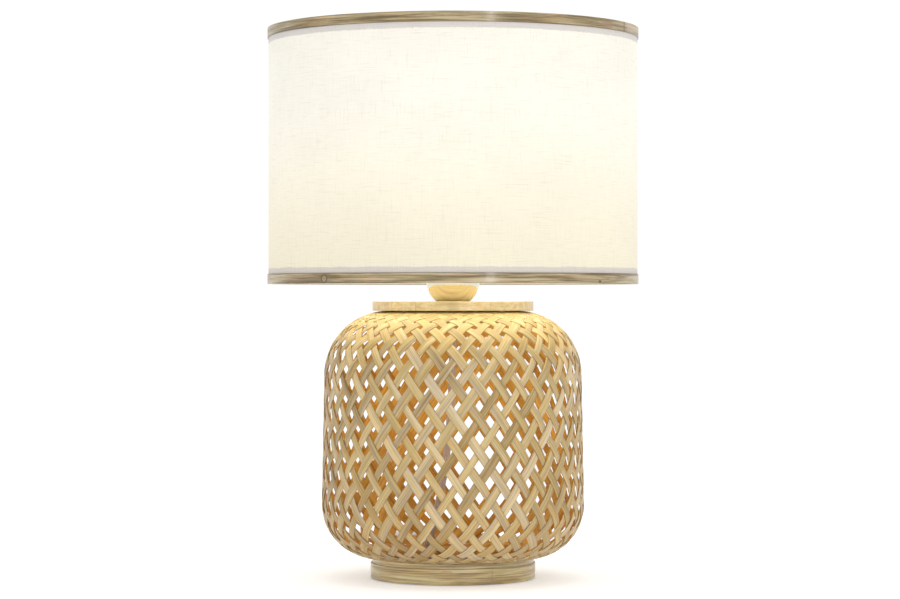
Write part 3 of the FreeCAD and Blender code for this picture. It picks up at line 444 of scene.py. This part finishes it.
def linen():
    """Linen whose light from inside is painted on as emission, strongest at the bulb's height, weaker at
    the folded hems and warmer towards the bottom. The cloth attribute holds mm round the shade and height
    in mm.
    """
    shader = Shader("linen_look")
    coords = shader.attribute("cloth").outputs["Vector"]
    _, height_mm, _ = shader.split(coords)
    weft = shader.stretched(coords, (0.055, 1.5, 0.0), 3.0, 0.6)
    warp = shader.stretched(coords, (1.5, 0.045, 0.0), 3.0, 0.6)
    slub_across = shader.spread(shader.stretched(coords, (0.05, 0.95, 0.0), 3.0, 0.6), 0.54, 0.72)
    slub_up = shader.spread(shader.stretched(coords, (0.85, 0.05, 0.0), 3.0, 0.6), 0.55, 0.74)
    fleck = shader.spread(shader.stretched(coords, (0.22, 0.9, 0.0), 2.0, 0.5), 0.70, 0.80)
    cloud = shader.stretched(coords, (0.010, 0.012, 0.0), 2.0, 0.5)
    thread = shader.math("ADD", shader.math("MULTIPLY", weft, 0.55), shader.math("MULTIPLY", warp, 0.45))
    slubs_across = shader.math("MULTIPLY", slub_across, 0.30)
    slubs_up = shader.math("MULTIPLY", slub_up, 0.26)
    dark = shader.math("ADD", slubs_across, slubs_up)
    dark = shader.math("ADD", dark, shader.math("MULTIPLY", fleck, 0.35), clamp=True)
    passed = shader.spread(thread, 0.30, 0.62, 0.90, 1.0)
    passed = shader.math("SUBTRACT", passed, shader.math("MULTIPLY", dark, 0.28))
    falloff = bulb_falloff(shader, height_mm, 150.0)
    low_edge = SHADE_LOW + BAND_H + HEM_SHOWS
    high_edge = SHADE_HIGH - BAND_H - HEM_SHOWS
    ragged = shader.math("ADD", height_mm, shader.spread(thread, 0.3, 0.7, -0.7, 0.7))
    single = shader.math(
        "MULTIPLY", shader.spread(ragged, low_edge - 0.6, low_edge + 0.6),
        shader.spread(ragged, high_edge - 0.6, high_edge + 0.6, 1.0, 0.0))
    # painted glow: this emission stands in for the bulb's light through the cloth, dimmed at the double
    # hems and by the threads
    painted_glow = shader.math("ADD", shader.math("MULTIPLY", falloff, 0.22), 0.20)
    painted_glow = shader.math("MULTIPLY", painted_glow, shader.spread(single, 0.0, 1.0, 0.30, 1.0))
    painted_glow = shader.math("MULTIPLY", painted_glow, shader.spread(cloud, 0.3, 0.7, 0.93, 1.05))
    painted_glow = shader.math("MULTIPLY", painted_glow, passed)
    lowness = shader.spread(height_mm, SHADE_LOW, 400.0, 1.0, 0.0)
    warm = shader.mix(lowness, (1.0, 1.0, 0.98), (1.0, 0.88, 0.60))
    warm = shader.mix(dark, warm, (0.95, 0.84, 0.62))
    base = shader.mix(dark, (0.58, 0.55, 0.455), (0.44, 0.39, 0.29))
    base = shader.mix(shader.spread(thread, 0.30, 0.60, 0.22, 0.0), base, (0.46, 0.42, 0.34))
    # painted shade: the folded hems are tinted bluer grey, where the bulb's light doesn't come through
    base = shader.mix(single, shader.mix(1.0, base, (1.0, 0.985, 1.12), "MULTIPLY"), base)
    normal = shader.bump(shader.math("ADD", thread, dark), 0.4, 0.18)
    cloth = shader.surface(base, 0.88, normal, Sheen_Weight=0.15, Sheen_Roughness=0.5)
    shader.put(cloth.inputs["Emission Color"], warm)
    shader.put(cloth.inputs["Emission Strength"], painted_glow)
    return shader.finish(cloth.outputs[0])


def brass(name):
    shader = Shader(name)
    place = shader.position()
    wear = shader.noise(place, 0.09, 4.0)
    fine = shader.noise(place, 1.6, 3.0)
    tint = shader.mix(shader.spread(wear, 0.35, 0.65), (0.70, 0.66, 0.53), (0.74, 0.70, 0.58))
    rough = shader.spread(fine, 0.3, 0.7, 0.05, 0.13)
    normal = shader.bump(wear, 0.04, 0.4)
    return shader.finish(shader.surface(tint, rough, normal, Metallic=1.0).outputs[0])


def metal(name, pale, dull, rough_low, rough_high, stretch=(0.3, 0.3, 3.0)):
    shader = Shader(name)
    place = shader.position()
    drawn = shader.stretched(place, stretch, 4.0, 0.6)
    patch = shader.noise(place, 0.15, 3.0)
    tint = shader.mix(shader.spread(patch, 0.35, 0.65), pale, dull)
    rough = shader.spread(drawn, 0.3, 0.7, rough_low, rough_high)
    normal = shader.bump(drawn, 0.15, 0.05)
    return shader.finish(shader.surface(tint, rough, normal, Metallic=1.0).outputs[0])


def plastic(name, pale, deep, rough_low=0.32, rough_high=0.46, grain=1.4, bump=0.12):
    shader = Shader(name)
    place = shader.position()
    fine = shader.noise(place, grain, 2.0)
    broad = shader.noise(place, 0.05, 3.0)
    tint = shader.mix(shader.spread(broad, 0.35, 0.65), pale, deep)
    rough = shader.spread(fine, 0.3, 0.7, rough_low, rough_high)
    return shader.finish(shader.surface(tint, rough, shader.bump(fine, bump, 0.05)).outputs[0])


def fibreboard():
    shader = Shader("base_mdf_look")
    place = shader.position()
    fibre = shader.stretched(place, (1.1, 1.4, 2.4), 4.0, 0.7)
    tint = shader.ramp(fibre, [
        (0.30, (0.30, 0.19, 0.10)), (0.52, (0.45, 0.31, 0.18)), (0.72, (0.58, 0.43, 0.27)),
    ])
    return shader.finish(shader.surface(tint, 0.85, shader.bump(fibre, 0.3, 0.15)).outputs[0])


def felt():
    shader = Shader("felt_look")
    place = shader.position()
    fuzz = shader.noise(place, 2.2, 5.0, 0.75)
    tint = shader.mix(shader.spread(fuzz, 0.3, 0.7), (0.05, 0.045, 0.04), (0.13, 0.12, 0.11))
    cloth = shader.surface(tint, 0.95, shader.bump(fuzz, 0.5, 0.3), Sheen_Weight=0.4, Sheen_Roughness=0.6)
    return shader.finish(cloth.outputs[0])


def opal_bulb():
    shader = Shader("bulb_opal_look")
    place = shader.position()
    _, _, z = shader.split(place)
    soft = shader.noise(place, 0.06, 2.0)
    level = shader.spread(z, 340.0, 372.0, 0.9, 1.5)
    strength = shader.math("ADD", level, shader.math("MULTIPLY", soft, 0.4))
    glass = shader.surface((0.93, 0.92, 0.88), 0.25, Coat_Weight=0.3, Coat_Roughness=0.1)
    shader.put(glass.inputs["Emission Color"], colour((1.0, 0.90, 0.72)))
    shader.put(glass.inputs["Emission Strength"], strength)
    return shader.finish(glass.outputs[0])


def liner_film():
    """White translucent film behind the linen; its light from the bulb is painted on as emission, strongest
    at the bulb's height.
    """
    shader = Shader("liner_look")
    _, along, z, _ = round_coords(shader)
    ripple = shader.stretched(shader.join(along, z, 0.0), (0.02, 0.03, 1.0), 3.0)
    tint = shader.mix(shader.spread(ripple, 0.3, 0.7), (0.76, 0.74, 0.68), (0.82, 0.80, 0.74))
    falloff = bulb_falloff(shader, z, 110.0)
    film = shader.surface(tint, 0.45, shader.bump(ripple, 0.1, 0.2))
    shader.put(film.inputs["Emission Color"], colour((1.0, 0.92, 0.76)))
    shader.put(film.inputs["Emission Strength"], shader.math("MULTIPLY", falloff, 0.55))
    return shader.finish(film.outputs[0])


DISC_BAMBOO = ((0.69, 0.57, 0.34), (0.64, 0.51, 0.28), (0.55, 0.42, 0.21))
FOOT_BAMBOO = ((0.66, 0.55, 0.33), (0.48, 0.375, 0.175), (0.25, 0.175, 0.065))
BAND_BAMBOO = ((0.54, 0.44, 0.28), (0.34, 0.255, 0.13), (0.15, 0.10, 0.038))
LAP_DARK = (0.12, 0.07, 0.035)
TOP_BAND_LOW = SHADE_HIGH - BAND_H
LOW_BAND_TOP = SHADE_LOW + BAND_H

disc_look = board_bamboo("disc_bamboo", DISC_BAMBOO)
foot_look = turned_bamboo("foot_bamboo", FOOT_BAMBOO, marks=[
    (front_angle(31.0, FOOT_OUT), 6.0, 0.8, 6.5, (0.30, 0.19, 0.09), 0.5, False),
    (front_angle(-5.0, FOOT_OUT), 10.5, 5.0, 1.4, (0.42, 0.24, 0.15), 0.5, False),
], edges=[0.0])
# On the top band the pale patch near its right end is painted sheen, and the dark line along its lower edge
# is a painted shadow line where the band stands proud of the linen.
top_band_look = turned_bamboo("top_band_bamboo", BAND_BAMBOO, marks=[
    (front_angle(140.0, RIM_OUT), TOP_BAND_LOW + 4, 9.0, 12.0, (0.54, 0.42, 0.33), 0.45, False),
    (front_angle(134.6, RIM_OUT), TOP_BAND_LOW + 4, 1.3, 14.0, LAP_DARK, 0.75, False),
    (front_angle(120.0, RIM_OUT), TOP_BAND_LOW + 4, 8.0, 8.0, (0.30, 0.17, 0.09), 0.45, False),
], edges=[TOP_BAND_LOW])
# On the bottom band the dark line along its upper edge is a painted shadow line where the band stands proud
# of the linen.
low_band_look = turned_bamboo("low_band_bamboo", BAND_BAMBOO, marks=[
    (front_angle(-99.4, RIM_OUT), SHADE_LOW + 3.5, 2.9, 2.9, (0.36, 0.25, 0.13), 0.7, False),
    (front_angle(-99.4, RIM_OUT), SHADE_LOW + 3.5, 2.9, 2.9, (0.09, 0.05, 0.025), 0.9, True),
    (front_angle(113.9, RIM_OUT), SHADE_LOW + 1.5, 2.0, 1.1, (0.07, 0.04, 0.02), 0.9, False),
], edges=[LOW_BAND_TOP])
weave_look = weave_bamboo()
linen_look = linen()
LOOKS = {
    "bamboo": disc_look,
    "woven_bamboo": weave_look,
    "linen": linen_look,
    "liner": liner_film(),
    "white_wire": metal("white_wire_look", (0.80, 0.80, 0.78), (0.74, 0.74, 0.72), 0.35, 0.5),
    "polished_brass": brass("polished_brass_look"),
    "zinc_steel": metal("zinc_steel_look", (0.70, 0.71, 0.72), (0.58, 0.59, 0.60), 0.22, 0.42),
    "contact_brass": metal("contact_brass_look", (0.82, 0.63, 0.30), (0.68, 0.50, 0.24), 0.2, 0.38),
    "holder_plastic": plastic("holder_plastic_look", (0.80, 0.79, 0.76), (0.76, 0.75, 0.72)),
    "holder_ceramic": plastic("holder_ceramic_look", (0.84, 0.83, 0.80), (0.79, 0.78, 0.75), 0.15, 0.3),
    "base_mdf": fibreboard(),
    "felt": felt(),
    "ballast_iron": metal(
        "ballast_iron_look", (0.34, 0.34, 0.35), (0.24, 0.24, 0.25), 0.42, 0.66, (0.6, 0.6, 0.6)),
    "cord_pvc": plastic("cord_pvc_look", (0.70, 0.69, 0.70), (0.65, 0.64, 0.66), 0.38, 0.52, 0.9, 0.2),
    "fitting_plastic": plastic(
        "fitting_plastic_look", (0.72, 0.71, 0.69), (0.67, 0.66, 0.64), 0.36, 0.5, 2.2, 0.2),
    "rocker_plastic": plastic("rocker_plastic_look", (0.84, 0.83, 0.81), (0.80, 0.79, 0.77), 0.25, 0.36),
    "sleeve_plastic": plastic("sleeve_plastic_look", (0.05, 0.05, 0.055), (0.08, 0.08, 0.085)),
    "nickel": metal("nickel_look", (0.77, 0.75, 0.70), (0.66, 0.64, 0.60), 0.14, 0.28),
    "bulb_opal": opal_bulb(),
    "bulb_white": plastic("bulb_white_look", (0.86, 0.86, 0.85), (0.82, 0.82, 0.81), 0.22, 0.34),
    "bulb_cap_metal": metal("bulb_cap_metal_look", (0.74, 0.73, 0.70), (0.60, 0.59, 0.57), 0.18, 0.34),
    "bulb_glass_black": plastic("bulb_insulator_look", (0.03, 0.03, 0.035), (0.05, 0.05, 0.05), 0.12, 0.22),
}
NODE_LOOKS = {
    "foot_band": foot_look,
    "foot_ring": foot_look,
    "top_rim_band": top_band_look,
    "bottom_rim_band": low_band_look,
}


def dress_nodes():
    """Each CAD node that stays visible gets its slot's material."""
    slots = {row["node"]: row["material_slot"] for row in frame["record"]["subparts"]}
    for name, node in frame["nodes"].items():
        look = NODE_LOOKS.get(name, LOOKS[slots[name]])
        if not node.data.materials:
            node.data.materials.append(look)
        for place in node.material_slots:
            place.material = look


dress_nodes()
free_lead.data.materials.append(LOOKS["cord_pvc"])


# ---------------------------------------------------------------- mesh helper
def add_piece(name, points, faces, material, attribute, values):
    mesh = bpy.data.meshes.new(name)
    mesh.from_pydata(points, [], faces)
    mesh.validate()
    mesh.materials.append(material)
    layer = mesh.attributes.new(attribute, "FLOAT_VECTOR", "POINT")
    layer.data.foreach_set("vector", [number for value in values for number in value])
    mesh.shade_smooth()
    mesh.update()
    piece = bpy.data.objects.new(name, mesh)
    SCENE.collection.objects.link(piece)
    return piece


# ---------------------------------------------------------------- woven body
STRIPS = 38               # strips in each direction
STRIP_W = 6.6
STRIP_T = 0.60
WEAVE_LIFT = 0.38         # how far a strip rises over, or dips under, the strips it crosses
WEAVE_BEND = 2.2          # how sharply it goes from over to under
WIDTH_MOST = 0.985        # a strip's width as a share of the room it has, where strips crowd together
LEAN = 59.5               # sine of a strip's lean times its radius, as on a straight line round a dome
PITCH = 2 * math.pi / STRIPS
TURNED_BY = 0.0305        # the whole weave, round the axis
FIRST_ANGLE = {1: TURNED_BY + PITCH / 4, -1: TURNED_BY - PITCH / 4}
LEAN_MOST = 0.93
LEAN_TURNED_IN = 0.30     # where the strips turn in at the foot and at the mouth
FOOT_IN_R = 60.75
FOOT_IN_Z = 4.0
SHELF_Z = 17.15
FOOT_R = 63.5
BELLY = (105.5, 60.0)
SHOULDER = (103.6, 164.0)
MOUTH = (52.0, 215.3)
TURN_IN_Z = 206.5


def arc(centre, half_w, half_h, start, end, steps):
    """Points on an ellipse from start to end degrees, without the first one."""
    points = []
    for k in range(1, steps + 1):
        angle = math.radians(start + (end - start) * k / steps)
        points.append((centre[0] + half_w * math.cos(angle), centre[1] + half_h * math.sin(angle)))
    return points


def straight(start, end, steps):
    return [(start[0] + (end[0] - start[0]) * k / steps, start[1] + (end[1] - start[1]) * k / steps)
            for k in range(1, steps + 1)]


def weave_line():
    """The weave's middle from inside the foot, over belly and shoulder, to inside the mouth."""
    bend = 0.9
    line = [(FOOT_IN_R, FOOT_IN_Z)]
    line += straight(line[-1], (FOOT_IN_R, SHELF_Z - bend), 4)
    line += arc((FOOT_IN_R + bend, SHELF_Z - bend), bend, bend, 180, 90, 4)
    line += straight(line[-1], (FOOT_R, SHELF_Z), 1)
    line += arc((FOOT_R, BELLY[1]), BELLY[0] - FOOT_R, BELLY[1] - SHELF_Z, 270, 360, 28)
    line += straight(line[-1], SHOULDER, 42)
    line += arc((MOUTH[0], SHOULDER[1]), SHOULDER[0] - MOUTH[0], MOUTH[1] - SHOULDER[1], 0, 90, 34)
    line += arc((MOUTH[0], MOUTH[1] - bend), bend, bend, 90, 180, 4)
    line += straight(line[-1], (MOUTH[0] - bend, TURN_IN_Z), 3)
    return line


class Profile:
    """The weave's middle line with the strips' turn round the axis at each point of it."""

    def __init__(self):
        self.line = weave_line()
        self.length = [0.0]
        self.turn = [0.0]
        for (r0, z0), (r1, z1) in zip(self.line, self.line[1:]):
            step = math.hypot(r1 - r0, z1 - z0)
            lean = self.lean((r0 + r1) / 2, (z0 + z1) / 2)
            self.length.append(self.length[-1] + step)
            self.turn.append(self.turn[-1] + step * lean / math.sqrt(1 - lean * lean) / ((r0 + r1) / 2))

    def lean(self, radius, height):
        """Sine of the angle between a strip and the upright line."""
        if height < SHELF_Z - 0.4 or (height > SHELF_Z and radius < MOUTH[0] - 0.05):
            return LEAN_TURNED_IN
        return min(LEAN / radius, LEAN_MOST)

    def at(self, along):
        """Radius, height, outward normal (r, z) and turn at a length along the line."""
        along = min(max(along, 0.0), self.length[-1])
        k = self.find(along)
        share = (along - self.length[k]) / (self.length[k + 1] - self.length[k])
        (r0, z0), (r1, z1) = self.line[k], self.line[k + 1]
        n0, n1 = self.normal(k), self.normal(k + 1)
        normal = (n0[0] + share * (n1[0] - n0[0]), n0[1] + share * (n1[1] - n0[1]))
        size = math.hypot(*normal)
        turn = self.turn[k] + share * (self.turn[k + 1] - self.turn[k])
        return r0 + share * (r1 - r0), z0 + share * (z1 - z0), normal[0] / size, normal[1] / size, turn

    def find(self, along):
        low, high = 0, len(self.length) - 2
        while low < high:
            middle = (low + high + 1) // 2
            if self.length[middle] <= along:
                low = middle
            else:
                high = middle - 1
        return low

    def normal(self, k):
        before = self.line[max(k - 1, 0)]
        after = self.line[min(k + 1, len(self.line) - 1)]
        dr, dz = after[0] - before[0], after[1] - before[1]
        size = math.hypot(dr, dz)
        return dz / size, -dr / size


# Across and through a strip's section, as shares of its width and thickness, outer face last.
SECTION = [
    (0.50, -0.28), (0.42, -0.50), (-0.42, -0.50), (-0.50, -0.28),
    (-0.50, 0.22), (-0.40, 0.50), (0.40, 0.50), (0.50, 0.22),
]


def over_under(place):
    """From -1 to 1 and back as a strip passes over and under its neighbours, which lie at whole numbers."""
    return math.tanh(WEAVE_BEND * math.cos(math.pi * place)) / math.tanh(WEAVE_BEND)


def strip_width(wanted, radius, lean):
    """A strip's width where the strips crowd together near the mouth and the foot."""
    spacing = 2 * math.pi * radius / STRIPS * math.sqrt(1 - lean * lean)
    return min(wanted, WIDTH_MOST * spacing)


def weave_family(name, direction, seed):
    """All strips that lean one way. direction is +1 or -1 round the axis going up."""
    chance = random.Random(seed)
    profile = Profile()
    first_angle = FIRST_ANGLE[direction]
    other_angle = FIRST_ANGLE[-direction]
    points, faces, values, inner = [], [], [], []
    corners = len(SECTION)
    for index in range(STRIPS):
        jitter = math.radians(chance.uniform(-0.32, 0.32))
        wave = math.radians(chance.uniform(0.1, 0.3))
        wave_phase = chance.uniform(0, 2 * math.pi)
        wanted = STRIP_W * chance.uniform(0.88, 1.14)
        tone = chance.random()
        base = len(points)
        for ring, (along, turn) in enumerate(zip(profile.length, profile.turn)):
            radius, height, _, _, _ = profile.at(along)
            lean = profile.lean(radius, height)
            width = strip_width(wanted, radius, lean)
            sway = jitter + wave * math.sin(along / 38.0 + wave_phase)
            middle = PITCH * index + first_angle + direction * turn + sway
            for across, through in SECTION:
                side = across * width
                s = along - direction * side * lean
                r, z, nr, nz, turn_here = profile.at(s)
                angle = middle + side * math.sqrt(1 - lean * lean) / r
                crossing = (angle - other_angle + direction * turn_here) / PITCH
                lift = WEAVE_LIFT * over_under(crossing) * (1 if index % 2 else -1) * direction
                lift += through * STRIP_T
                x = (r + nr * lift) * math.sin(angle)
                y = -(r + nr * lift) * math.cos(angle)
                points.append((x * MM, y * MM, (z + nz * lift) * MM))
                values.append((along, across * STRIP_W, tone))
                inner.append(1.0 if through < 0 else 0.0)
            if ring:
                low = base + (ring - 1) * corners
                for k in range(corners):
                    j = (k + 1) % corners
                    faces.append((low + k, low + j, low + corners + j, low + corners + k))
        last = len(points) - corners
        faces.append(tuple(base + k for k in reversed(range(corners))))
        faces.append(tuple(last + k for k in range(corners)))
    piece = add_piece(name, points, faces, weave_look, "strip", values)
    layer = piece.data.attributes.new("inner", "FLOAT", "POINT")
    layer.data.foreach_set("value", inner)
    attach(piece, "base")
    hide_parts("woven_body")
    return piece


weave = [weave_family("strips_rising_right", 1, 11), weave_family("strips_rising_left", -1, 12)]


# ---------------------------------------------------------------- linen shade
CLOTH_OUT = 149.2
CLOTH_T = 0.6
CLOTH_THIN = 0.1          # taken off the sheet's inner side, so that it stays clear of the liner
CLOTH_SHORT = 0.3         # how far inside the shade's ends the sheet stops
SEAM_HALF = 5.0
SEAM_LIFT = 0.45
RIPPLE = 0.05


def make_shade():
    """A stretched sheet of linen round the liner, with its lap seam at the back."""
    around, rows = 360, 52
    points, faces, values = [], [], []
    for row in range(rows + 1):
        height = SHADE_LOW + CLOTH_SHORT + (SHADE_HIGH - SHADE_LOW - 2 * CLOTH_SHORT) * row / rows
        for layer in (0, 1):
            for k in range(around):
                angle = 2 * math.pi * k / around - math.pi
                off_seam = (math.pi - abs(angle)) * CLOTH_OUT
                seam = SEAM_LIFT * ease((SEAM_HALF - off_seam) / 1.5 + 1.0)
                pull = RIPPLE * math.sin(9 * angle + 0.7) * math.sin(math.pi * row / rows)
                radius = CLOTH_OUT + pull + seam - layer * (CLOTH_T - CLOTH_THIN + seam)
                points.append((radius * math.sin(angle) * MM, -radius * math.cos(angle) * MM, height * MM))
                values.append((angle * CLOTH_OUT, height, 0.0))
    ring = 2 * around
    for row in range(rows):
        for k in range(around):
            j = (k + 1) % around
            low, high = row * ring, (row + 1) * ring
            faces.append((low + k, low + j, high + j, high + k))
            faces.append((low + around + j, low + around + k, high + around + k, high + around + j))
    for k in range(around):
        j = (k + 1) % around
        top = rows * ring
        faces.append((j, k, around + k, around + j))
        faces.append((top + k, top + j, top + around + j, top + around + k))
    cloth = add_piece("linen_shade", points, faces, linen_look, "cloth", values)
    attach(cloth, "shade")
    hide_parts("shade_fabric")
    return cloth


make_shade()


# ---------------------------------------------------------------- stage and light
FLOOR_HALF = 12.0
FLOOR_DROP = 0.0006       # the floor lies this far below the lamp's foot


def make_floor():
    size = FLOOR_HALF
    corners = [(-size, -size, 0), (size, -size, 0), (size, size, 0), (-size, size, 0)]
    mesh = bpy.data.meshes.new("floor")
    mesh.from_pydata(corners, [], [(0, 1, 2, 3)])
    shader = Shader("floor_look")
    pale = shader.surface((0.93, 0.93, 0.93), 0.9)
    pale.inputs["Emission Color"].default_value = (1, 1, 1, 1)
    pale.inputs["Emission Strength"].default_value = 0.34
    mesh.materials.append(shader.finish(pale.outputs[0]))
    floor = bpy.data.objects.new("floor", mesh)
    floor.location = (0, 0, -FLOOR_DROP)
    SCENE.collection.objects.link(floor)


def area_light(name, place, target, size, power, tint=(1, 1, 1)):
    data = bpy.data.lights.new(name, "AREA")
    data.shape = "DISK"
    data.size = size
    data.energy = power
    data.color = tint
    light = bpy.data.objects.new(name, data)
    light.location = place
    aim = [target[k] - place[k] for k in range(3)]
    yaw = math.atan2(-aim[0], aim[1])
    pitch = math.atan2(aim[2], math.hypot(aim[0], aim[1]))
    light.rotation_euler = (math.pi / 2 + pitch, 0, yaw)
    SCENE.collection.objects.link(light)
    return light


def strip_light(name, place, wide, high, power):
    """A tall soft box turned towards the lamp's axis."""
    light = area_light(name, place, (0, 0, place[2]), wide, power)
    light.data.shape = "RECTANGLE"
    light.data.size_y = high


def choose_pieces(light, pieces, state):
    """Makes a light shine only on some pieces (INCLUDE), or on all pieces but those (EXCLUDE)."""
    chosen = bpy.data.collections.new(light.name + "_pieces")
    for piece in pieces:
        chosen.objects.link(piece)
    for row in chosen.collection_objects:
        row.light_linking.link_state = state
    light.light_linking.receiver_collection = chosen


def point_light(name, place, radius, power, tint):
    """A round light that the camera doesn't see."""
    data = bpy.data.lights.new(name, "POINT")
    data.energy = power
    data.color = tint
    data.shadow_soft_size = radius
    light = bpy.data.objects.new(name, data)
    light.location = place
    light.visible_camera = False
    SCENE.collection.objects.link(light)
    return light


def make_world():
    """White all round: a little brighter to the camera than as a light."""
    world = bpy.data.worlds.new("studio")
    world.use_nodes = True
    tree = world.node_tree
    back = tree.nodes["Background"]
    back.inputs["Color"].default_value = (1, 1, 1, 1)
    path = tree.nodes.new("ShaderNodeLightPath")
    strength = tree.nodes.new("ShaderNodeMapRange")
    strength.inputs["To Min"].default_value = 0.81
    strength.inputs["To Max"].default_value = 1.02
    tree.links.new(path.outputs["Is Camera Ray"], strength.inputs["Value"])
    tree.links.new(strength.outputs["Result"], back.inputs["Strength"])
    SCENE.world = world


def make_lights():
    """Two soft lights in front, and the light of the bulb, from the shade and behind the weave."""
    area_light("soft_right", (1.6, -1.9, 1.2), (0, 0, 0.2), 1.2, 1.0)
    strip_light("strip_box", (0.90, -2.22, 0.30), 0.20, 1.6, 10.0)
    dimmed = [frame["nodes"]["shade_liner"], frame["nodes"]["ball_neck"]]
    bulb_light = point_light("bulb_light", (0, 0, BULB_HEIGHT * MM), 0.031, 5.0, (1.0, 0.92, 0.66))
    choose_pieces(bulb_light, dimmed, "EXCLUDE")
    shade_light = area_light("from_shade", (0, 0, 0.30), (0, 0, 0), 0.28, 0.34, (1.0, 0.88, 0.58))
    shade_light.visible_camera = False
    choose_pieces(shade_light, dimmed, "EXCLUDE")
    inner_light = point_light("glow_inside", (0, 0, 0.125), 0.030, 0.22, (1.0, 0.60, 0.12))
    choose_pieces(inner_light, weave, "INCLUDE")
    SCENE.view_settings.view_transform = "Standard"


make_floor()
make_world()
make_lights()
bpy.context.view_layer.update()
